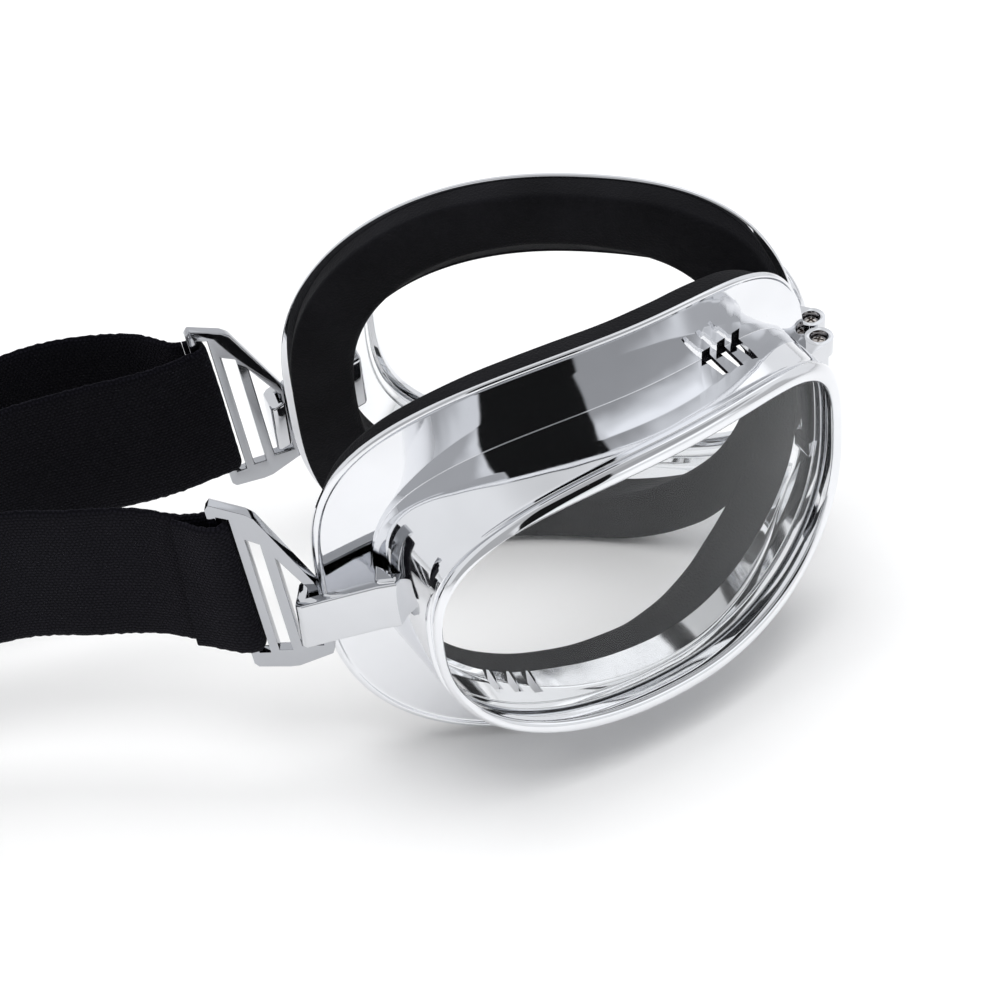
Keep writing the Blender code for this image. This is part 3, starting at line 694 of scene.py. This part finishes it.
def foam(side, tag):
    def depth(u):
        return 0.5 + 0.5 * smooth((u - 3.0) / 15.0)

    rim = lambda d: (lambda u, v: back_bow(u) + d * smooth((u - 1.0) / 7.0))
    outer = wider(inset(FLANGE, 0.4, nose=1.5), -1.5)
    crown = inset(FLANGE, 6.0, nose=6.5)
    start = -FLANGE_THICK - 0.45
    stack = [
        (outer, lambda u, v: back_bow(u) - 0.72, 0.2),
        (inset(outer, 0.1), lambda u, v: back_bow(u) - 0.72 - 1.2 * depth(u), 0.8),
        (inset(outer, 0.55), lambda u, v: back_bow(u) - 5.0 * depth(u), 0.65),
        (crown, lambda u, v: back_bow(u) - 6.3 * depth(u), 3.0),
        (inset(FOAM_IN, -0.7), lambda u, v: back_bow(u) - 6.2 * depth(u), 0.8),
        (FOAM_IN, lambda u, v: back_bow(u) - 5.4 * depth(u), 0.6),
        (inset(wider(BASE, 1.0), 0.9, nose=1.6), lambda u, v: back_bow(u) + lip(u, v), 0.12),
        (inset(BASE, 0.3, nose=1.5), rim(-FLANGE_DISH - 0.85), 0.2),
    ]

    def wobble(rings):
        # soft foam is never quite even: slow swells of a tenth of a millimetre or two
        k, n, _ = rings.shape
        i = np.arange(n) / n * 2 * np.pi
        j = np.arange(k)[:, None] / k * 2 * np.pi
        d = 0.10 * np.sin(5 * i + 2 * j + side) + 0.07 * np.sin(11 * i - 3 * j) + 0.04 * np.sin(23 * i + j)
        back = np.clip((-(rings[..., 1] - back_bow(rings[..., 0])) - 3.4) / 2.0, 0, 1)
        out = rings.copy()
        out[..., 1] -= d * back
        return out

    return loft(tag + "_foam_pad", stack, 240, FOAM, side, 2.0, wobble)


# ------------------------------------------------------------------ bridge


def bridge_link():
    lo = EAR_LOW_TOP + 0.3 + EYE_HEIGHT
    hi = EAR_TOP - EAR_THICK - 0.3 + EYE_HEIGHT
    ob = drum("bridge_link_bar", -PIVOT_X, PIVOT_Y, lo, hi, LINK_RADIUS - 0.3, 56, CHROME_SMALL)
    other = drum("b", PIVOT_X, PIVOT_Y, lo, hi, LINK_RADIUS - 0.3, 56)
    w = 0.9
    plate = [(-PIVOT_X, PIVOT_Y - w), (PIVOT_X, PIVOT_Y - w), (PIVOT_X, PIVOT_Y + w), (-PIVOT_X, PIVOT_Y + w)]
    plate = prism(
        "p",
        [np.array((x, y - ORIGIN_Y, lo + 0.01)) * MM for x, y in plate],
        [np.array((x, y - ORIGIN_Y, hi - 0.01)) * MM for x, y in plate],
    )
    boolean(ob, [plate, other], "UNION")
    boolean(ob, [drum("c", s * PIVOT_X, PIVOT_Y, lo - 1, hi + 1, SCREW_RADIUS + 0.3, 40) for s in (-1, 1)])
    bevel(ob, 0.25, 3, 40)
    return ob


def bridge_screw(side, tag):
    px, py = PIVOT_X * side, PIVOT_Y - ORIGIN_Y
    base = EAR_LOW_TOP - EAR_THICK + EYE_HEIGHT + 0.3
    seat = EAR_TOP - 1.3 + EYE_HEIGHT
    top = EAR_TOP - 0.62 + EYE_HEIGHT
    n = 56
    levels = [(0.05, base), (SCREW_RADIUS - 0.15, base), (SCREW_RADIUS, base + 0.15), (SCREW_RADIUS, seat), (HEAD_RADIUS - 0.06, seat), (HEAD_RADIUS, seat + 0.06), (HEAD_RADIUS, top - 0.4), (HEAD_RADIUS - 0.08, top - 0.24), (HEAD_RADIUS - 0.35, top - 0.08), (0.5, top - 0.01), (0.05, top)]
    verts, faces = [], []
    a = 2 * np.pi * np.arange(n) / n
    for r, z in levels:
        verts += [np.array((px + r * math.cos(t), py + r * math.sin(t), z)) * MM for t in a]
    m = len(levels)
    faces = torus_faces(m, n, wrap=False) + [tuple(range(n)), tuple(range((m - 1) * n, m * n))]
    ob = mesh_object(tag + "_screw_head", verts, faces, SCREW, 35)
    turn = 0.5 * side
    cut = []
    for dx, dy in ((0.85, 0.19), (0.19, 0.851)):
        c = []
        for x, y in ((-dx, -dy), (dx, -dy), (dx, dy), (-dx, dy)):
            c.append((px + x * math.cos(turn) - y * math.sin(turn), py + x * math.sin(turn) + y * math.cos(turn)))
        cut.append(prism("cut", [np.array((x, y, top - 0.55)) * MM for x, y in c], [np.array((x, y, top + 0.5)) * MM for x, y in c]))
    boolean(ob, cut)
    ob.data.shade_smooth()
    ob.data.set_sharp_from_angle(angle=math.radians(35))
    return ob


# ------------------------------------------------------------------ buckle


def buckle(side, tag):
    outline = [
        (-1.0, -13.2),
        (-0.4, -14.6),
        (5.6, -17.2),
        (7.2, -17.4),
        (12.4, -17.2),
        (13.0, -16.4),
        (13.0, 17.6),
        (12.2, 18.6),
        (7.0, 16.4),
        (5.8, 15.4),
        (-0.6, 1.6),
        (-1.0, 0.4),
    ]
    ob = prism(
        tag + "_buckle_plate",
        [temple(p, BUCKLE_BACK, v, side, 1.0) for p, v in outline],
        [temple(p, BUCKLE_FRONT, v, side, 1.0) for p, v in outline],
        CHROME_BUCKLE,
    )
    slots = (
        [(0.7, -12.7), (4.3, -12.7), (4.3, 7.0), (0.7, 0.4)],
        [(6.0, -13.5), (8.2, -13.5), (8.2, 11.2), (6.0, 10.0)],
        [(9.7, -14.0), (11.6, -14.0), (11.6, 16.1), (9.7, 15.5)],
    )
    cut = []
    for pts in slots:
        cut.append(
            prism(
                "cut",
                [temple(p, BUCKLE_BACK - 1.0, v, side, 1.0) for p, v in pts],
                [temple(p, BUCKLE_FRONT + 1.0, v, side, 1.0) for p, v in pts],
            )
        )
    boolean(ob, cut)
    bevel(ob, 0.55, 5, 25)
    return ob


# ------------------------------------------------------------------ strap


def strap_height(y):
    return STRAP_HEIGHT + (STRAP_LOW - STRAP_HEIGHT) * float(smooth((y - 128.0) / 98.0))


def curve_points(points, per=10):
    out = []
    n = len(points)
    for i in range(n - 1):
        p0, p1, p2, p3 = points[max(0, i - 1)], points[i], points[i + 1], points[min(n - 1, i + 2)]
        for k in range(per):
            t = k / per
            out.append(
                tuple(
                    0.5 * (2 * p1[a] + (p2[a] - p0[a]) * t + (2 * p0[a] - 5 * p1[a] + 4 * p2[a] - p3[a]) * t * t + (3 * p1[a] - p0[a] - 3 * p2[a] + p3[a]) * t**3)
                    for a in range(2)
                )
            )
    out.append(points[-1])
    return out


def temple_xy(p, q, side):
    c = temple(p, q, 0.0, side) / MM
    return (float(c[0]), float(c[1]) + ORIGIN_Y)


def wrap(side, front_end):
    """Plan line from the folded end round the buckle's outer bar, each point with its lean."""
    mid = (BUCKLE_BACK + BUCKLE_FRONT) / 2
    off = (BUCKLE_FRONT - BUCKLE_BACK) / 2 + 0.3 + STRAP_THICK / 2
    slot = 10.65
    pts = list(front_end) + [(13.6, mid + off), (12.3, mid + off)]
    for i in range(1, 12):
        c, s = math.cos(math.pi * (i / 12 - 0.5)), math.sin(math.pi * (0.5 - i / 12))
        pts.append((12.3 - (12.3 - slot) * c**0.6, mid + off * math.copysign(abs(s) ** 0.6, s)))
    pts += [(12.3, mid - off), (13.6, mid - off)]
    out = []
    for p, q in pts:
        lean = 1.0 if p < 14 else max(0.0, 1.0 - (p - 14.0) / 7.0)
        p1 = p + lean * BUCKLE_LEAN * (STRAP_HEIGHT - EYE_HEIGHT + 6.0)
        x, y = temple_xy(p1, q, side)
        x2, y2 = temple_xy(p1 + lean * BUCKLE_LEAN * STRAP_WIDTH / 2, q, side)
        out.append((x, y, STRAP_HEIGHT, x2 - x, y2 - y))
    return out


def run(points):
    return [(x, y, strap_height(y), 0.0, 0.0) for x, y in points]


def resample(stations, step, soften):
    s = np.array(stations, float)
    d = np.linalg.norm(np.diff(s[:, :3], axis=0), axis=1)
    arc = np.concatenate([[0], np.cumsum(d)])
    total = arc[-1]
    m = max(8, int(total / 0.2))
    even = np.linspace(0, total, m)
    f = np.stack([np.interp(even, arc, s[:, k]) for k in range(5)], 1)
    # Gaussian smoothing with the ends held
    h = total / (m - 1)
    r = max(1, int(3 * soften / h))
    kern = np.exp(-0.5 * (np.arange(-r, r + 1) * h / soften) ** 2)
    kern /= kern.sum()
    pad = np.concatenate([2 * f[0] - f[r:0:-1], f, 2 * f[-1] - f[-2 : -r - 2 : -1]])
    f = np.stack([np.convolve(pad[:, k], kern, "valid") for k in range(5)], 1)
    k = max(4, int(total / step))
    at = np.linspace(0, total, k)
    return np.stack([np.interp(at, even, f[:, c]) for c in range(5)], 1), at


def ribbon(name, stations, mat, step=0.8, soften=0.7, phase=0.0, fray=(False, False)):
    """A woven strap with round selvages and a little life in its surface."""
    f, at = resample(stations, step, soften)
    t = np.gradient(f[:, :2], axis=0)
    t /= np.linalg.norm(t, axis=1, keepdims=True)
    nrm = np.stack([-t[:, 1], t[:, 0]], 1)
    across = np.concatenate([[-1.0, -0.992, -0.965], np.linspace(-0.93, 0.93, 25), [0.965, 0.992, 1.0]])
    half = STRAP_THICK / 2 * np.sqrt(np.clip(1 - np.abs(across) ** 22, 0, 1)) + 0.02
    half = half * (1.0 - 0.06 * np.cos(across * np.pi * 5) ** 2)
    loop = [(c, h) for c, h in zip(across, half)] + [(c, -h) for c, h in zip(across[::-1], half[::-1])]
    n = len(loop)
    verts, uv = [], []
    w2 = STRAP_WIDTH / 2
    for i in range(len(f)):
        x, y, z, lx, ly = f[i]
        s = at[i] + phase
        # selvages draw in and out a little from pick to pick
        edge = 0.10 * math.sin(s * 4.1) + 0.06 * math.sin(s * 9.7 + 1.3)
        swell = 0.05 * math.sin(s * 0.31) + 0.03 * math.sin(s * 0.83 + 2.0)
        for c, h in loop:
            e = edge * (abs(c) ** 6)
            zz = c * (w2 - 0.15 + e)
            o = h + swell * (1 - c * c) + 0.05 * math.sin(c * 3.1 + s * 0.12)
            verts.append(((x + nrm[i, 0] * o + c * lx) * MM, (y + nrm[i, 1] * o + c * ly - ORIGIN_Y) * MM, (z + zz) * MM))
            uv.append((s, c * w2 + (0.3 if h < 0 else 0.0)))
    k = len(f)
    faces = torus_faces(k, n, wrap=False) + [tuple(range(n)), tuple(range((k - 1) * n, k * n))]
    ob = mesh_object(name, verts, faces, mat, 60, uv)
    return ob, float(at[-1])


SPLIT_Y = 144.0  # where a run hands over from the cup to the bridge
RIGHT_PLAN = [(-19.7, 107.6), (-16.7, 113.6), (-15.1, 119.5), (-14.0, 126.0), (-12.4, 132.0), (-11.2, 138.5), (-10.6, 152.0), (-10.8, 170.0), (-12.0, 195.0), (-13.2, 225.0), (-13.5, 250.0), (-13.5, STRAP_END)]
LEFT_PLAN = [(18.2, 107.8), (17.0, 113.6), (16.4, 120.0), (15.4, 126.5), (14.5, 132.5), (13.8, 138.5), (13.4, 152.0), (13.4, 175.0), (13.5, 200.0), (13.5, 225.0), (13.5, 250.0), (13.5, STRAP_END)]


def cut_at(points, y):
    """Splits a plan line at a distance y back, sharing the point."""
    for i in range(1, len(points)):
        if points[i][1] >= y > points[i - 1][1]:
            a, b = points[i - 1], points[i]
            t = (y - a[1]) / (b[1] - a[1])
            p = (a[0] + (b[0] - a[0]) * t, y)
            return points[:i] + [p], [p] + points[i:]
    raise ValueError("plan line never reaches y")


def rear_turn():
    out = []
    for i in range(1, 40):
        a = math.pi * i / 40
        out.append((-13.5 * math.cos(a), STRAP_END + 11.0 * math.sin(a)))
    return out


def main_runs():
    made = []
    for side, tag, plan, front in (
        (-1, "right", RIGHT_PLAN, [(20.8, 1.15), (18.2, 1.75), (15.6, 2.75)]),
        (1, "left", LEFT_PLAN, []),
    ):
        pts = curve_points([temple_xy(13.6, -0.45, side)] + plan)[6:]
        near, far = cut_at(pts, SPLIT_Y)
        st = wrap(side, front) + run(near)
        ob, length = ribbon(tag + "_strap_near", st, STRAP)
        made.append((ob, length, tag, "near"))
        phase = length
        if side < 0:
            far = far + rear_turn() + [(13.5, STRAP_END)]
        ob, length = ribbon(tag + "_strap_far", run(far), STRAP, 1.2, 0.7, phase)
        made.append((ob, length, tag, "far"))
    return made


def tail():
    side = 1
    x0, y0 = temple_xy(14.6, 3.3, side)
    plan = [(x0 + 0.3, y0 + 1.7), (25.9, 107.2), (28.3, 112.0), (29.7, 118.5), (30.0, 126.0), (28.6, 134.5), (25.4, 145.0), (22.4, 157.0), (20.4, 172.0), (19.2, 192.0), (18.7, 215.0), (18.65, SLIDER_Y - 3.0)]
    near, far = cut_at(curve_points(plan), SPLIT_Y)
    # start the layer where the wrapped end leaves off, so that it reads as one strap
    head = wrap(side, [])[:1]
    hx, hy, hz, lx, ly = head[0]
    st = []
    for x, y in near:
        k = max(0.0, 1.0 - (y - near[0][1]) / 7.0)
        st.append((x, y, strap_height(y), lx * k, ly * k))
    st = [(hx, hy + 0.25, hz, lx, ly)] + st
    a, la = ribbon("left_strap_tail_near", st, STRAP)
    st = run(far)
    z = strap_height(SLIDER_Y)
    for i in range(1, 12):
        t = math.pi / 2 - math.pi * i / 12
        st.append((16.92 + 1.73 * math.sin(t), SLIDER_Y + 1.0 + 2.2 * math.cos(t), z, 0, 0))
    st.append((15.2, SLIDER_Y - 2.0, z, 0, 0))
    st.append((15.2, SLIDER_Y - 9.0, strap_height(SLIDER_Y - 9.0), 0, 0))
    b, lb = ribbon("left_strap_tail_far", st, STRAP, 1.0, 0.5, la)
    return (a, la), (b, lb)


def slider():
    z = strap_height(SLIDER_Y)
    half = STRAP_WIDTH / 2 + 0.6
    y = SLIDER_Y

    def block(x0, x1, y0, y1, z0, z1):
        c = [(x0, y0), (x1, y0), (x1, y1), (x0, y1)]
        return prism(
            "blk",
            [np.array((a, b - ORIGIN_Y, z0)) * MM for a, b in c],
            [np.array((a, b - ORIGIN_Y, z1)) * MM for a, b in c],
            CHROME_SMALL,
        )

    ob = block(11.0, 12.5, y - 9.0, y - 5.5, z - half, z + half)
    ob.name = "slider_frame"
    boolean(
        ob,
        [
            block(11.0, 12.51, y + 5.5, y + 9.0, z - half, z + half),
            block(11.0, 17.6, y - 9.0, y + 9.0, z + half - 0.05, z + half + 1.9),
            block(11.0, 17.6, y - 9.0, y + 9.0, z - half - 1.9, z - half + 0.05),
            block(16.2, 17.59, y - 1.2, y + 1.2, z - half - 0.1, z + half + 0.1),
        ],
        "UNION",
    )
    bevel(ob, 0.45, 4)
    return ob


# ------------------------------------------------------------------ build

for side, tag in ((-1, "right"), (1, "left")):
    body = tag + "_cup"
    sh = shell(side, tag) if side < 0 else mirrored(sh, tag + "_shell_chrome")
    group = [sh] + arm(side, tag) + ears(side, tag)
    for ob in group:
        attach(ob, body)
    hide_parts(tag + "_cup_shell")
    le = lens(side, tag)
    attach(le, body)
    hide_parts(tag + "_lens")
    re_ = retainer(side, tag)
    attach(re_, body)
    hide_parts(tag + "_lens_retainer")
    fo = foam(side, tag)
    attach(fo, body)
    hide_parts(tag + "_face_foam")
    sc = bridge_screw(side, tag)
    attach(sc, body)
    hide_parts(tag + "_bridge_screw")
    bu = buckle(side, tag)
    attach(bu, tag + "_buckle")
    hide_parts(tag + "_strap_buckle")

link = bridge_link()
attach(link, "bridge")
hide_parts("bridge_link")


def at(x, y):
    return (x * MM, (y - ORIGIN_Y) * MM, 0.03)


for ob, length, tag, part in main_runs():
    if tag == "right" and part == "far":
        ob.visible_glossy = False  # the cup's temple end faces the room, not the strap
    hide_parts(tag + "_strap_run")
    if part == "near":
        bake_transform(ob)
    else:
        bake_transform(ob)
(near, l1), (far, l2) = tail()
for ob in (near, far):
    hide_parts("left_strap_tail")
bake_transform(near)
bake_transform(far)
sl = slider()
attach(sl, "slider")
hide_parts("strap_slider")

# ------------------------------------------------------------------ floor, light, camera

floor = mesh_object(
    "floor",
    [(-3.0, -3.0, 0.0), (3.0, -3.0, 0.0), (3.0, 3.0, 0.0), (-3.0, 3.0, 0.0)],
    [(0, 1, 2, 3)],
    None,
)
floor.location.z = min(CAD_BOX[0][2], 0.0) - 0.0002
fm, fn, fb = material("floor_paper", 0.0, 0.6)
fn.link(fn.ramp(fn.noise(fn.new("ShaderNodeTexCoord").outputs["Object"], 3.0, 2.0), [(0.0, (0.94, 0.937, 0.934)), (1.0, (0.955, 0.953, 0.95))]), fb.inputs["Base Color"])
fb.inputs["Specular IOR Level"].default_value = 0.25
floor.data.materials.append(fm)

wd = bpy.data.worlds.new("studio")
bpy.context.scene.world = wd
wd.use_nodes = True
wn = Nodes(wd.node_tree)
bg = wd.node_tree.nodes["Background"]
bg.inputs["Strength"].default_value = 1.0
way = wn.new("ShaderNodeTexCoord").outputs["Generated"]
sep = wn.new("ShaderNodeSeparateXYZ")
wn.link(wn.vec("NORMALIZE", way), sep.inputs[0])
DEG = 180.0 / math.pi
# azimuth in degrees from the -x axis, growing towards -y, and elevation
AZ = wn.math("MULTIPLY", wn.math("ARCTAN2", wn.math("MULTIPLY", sep.outputs[1], -1.0), wn.math("MULTIPLY", sep.outputs[0], -1.0)), DEG)
EL = wn.math("MULTIPLY", wn.math("ARCSINE", sep.outputs[2]), DEG)
wob_a = wn.math("MULTIPLY_ADD", wn.noise(way, 3.2, 2.0), 14.0, -7.0)
wob_b = wn.math("MULTIPLY_ADD", wn.noise(way, 4.7, 2.0), 10.0, -5.0)


def step(x, edge, soft):
    n = wn.new("ShaderNodeMapRange", interpolation_type="SMOOTHSTEP")
    wn.link(x, n.inputs["Value"])
    n.inputs["From Min"].default_value = edge - soft / 2
    n.inputs["From Max"].default_value = edge + soft / 2
    n.inputs["To Min"].default_value = 0.0
    n.inputs["To Max"].default_value = 1.0
    return n.outputs[0]


def patch(az0, az1, el0, el1, soft=4.0, wobble=1.0, slant=(0.0, 0.0)):
    """1 inside a patch of the room, 0 outside, with a soft uneven edge."""
    a = wn.math("MULTIPLY_ADD", wob_a, wobble, AZ)
    e = wn.math("MULTIPLY_ADD", wob_b, wobble, EL)
    left = wn.math("MULTIPLY_ADD", wn.math("SUBTRACT", EL, 42.0), slant[0], a)
    right = wn.math("MULTIPLY_ADD", wn.math("SUBTRACT", EL, 42.0), slant[1], a)
    k = wn.math("MULTIPLY", step(left, az0, soft), wn.math("SUBTRACT", 1.0, step(right, az1, soft)))
    k = wn.math("MULTIPLY", k, step(e, el0, soft))
    return wn.math("MULTIPLY", k, wn.math("SUBTRACT", 1.0, step(e, el1, soft)))


def lay(value, k, over):
    """over, with value laid on it where k is 1."""
    d = wn.math("SUBTRACT", value, over)
    return wn.math("MULTIPLY_ADD", d, k, over)


ROOM = wn.math("MULTIPLY_ADD", wn.noise(way, 2.0, 2.0), 0.10, 0.85)
# greyer ceiling overhead, a grey wall to either side of the camera, white panels, the camera side dark
ROOM = lay(0.52, step(EL, 60.0, 16.0), ROOM)
ROOM = lay(0.42, patch(20.0, 92.0, 38.0, 64.0, 8.0), ROOM)
ROOM = lay(0.50, patch(-60.0, -20.0, -10.0, 64.0, 8.0), ROOM)
ROOM = lay(1.25, patch(34.0, 66.0, 18.0, 33.0, 4.0, 0.4), ROOM)
ROOM = lay(0.55, patch(68.0, 96.0, -5.0, 30.0, 8.0), ROOM)
ROOM = lay(1.25, patch(140.0, 166.0, 30.0, 60.0, 8.0), ROOM)
ROOM = lay(0.010, patch(-18.5, 33.0, 19.0, 64.0, 2.0, 0.35, (0.45, -0.26)), ROOM)
tinted = wn.new("ShaderNodeVectorMath", operation="SCALE")
tinted.inputs[0].default_value = (0.985, 0.995, 1.012)
wn.link(ROOM, tinted.inputs["Scale"])
wn.link(tinted.outputs[0], bg.inputs["Color"])


def area(name, loc, target, size, power, colour=(1, 1, 1)):
    d = bpy.data.lights.new(name, "AREA")
    d.shape = "RECTANGLE"
    d.size, d.size_y = size
    d.energy = power
    d.color = colour
    ob = bpy.data.objects.new(name, d)
    bpy.context.scene.collection.objects.link(ob)
    ob.location = loc
    ob.rotation_euler = (Vector(target) - Vector(loc)).to_track_quat("-Z", "Y").to_euler()
    return ob


top = area("top_softbox", (-0.05, -0.04, 0.75), (-0.01, -0.05, 0.0), (0.6, 0.6), 4.4)
top.visible_glossy = False

cam_data = bpy.data.cameras.new("view")
cam = bpy.data.objects.new("view", cam_data)
bpy.context.scene.collection.objects.link(cam)
cam_data.lens = 93.21
cam_data.sensor_width = 36.0
cam_data.clip_start = 0.01
cam_data.clip_end = 20.0
right = Vector((-0.16297, -0.9835, -0.07852))
up = Vector((0.65134, -0.16702, 0.74018))
back = Vector((-0.74108, 0.06948, 0.66781))
cam.matrix_world = Matrix(
    (
        (right.x, up.x, back.x, -0.32673),
        (right.y, up.y, back.y, 0.08575 - ORIGIN_Y * MM),
        (right.z, up.z, back.z, 0.32372),
        (0, 0, 0, 1),
    )
)
bpy.context.scene.camera = cam
bpy.context.scene.view_settings.view_transform = "Standard"
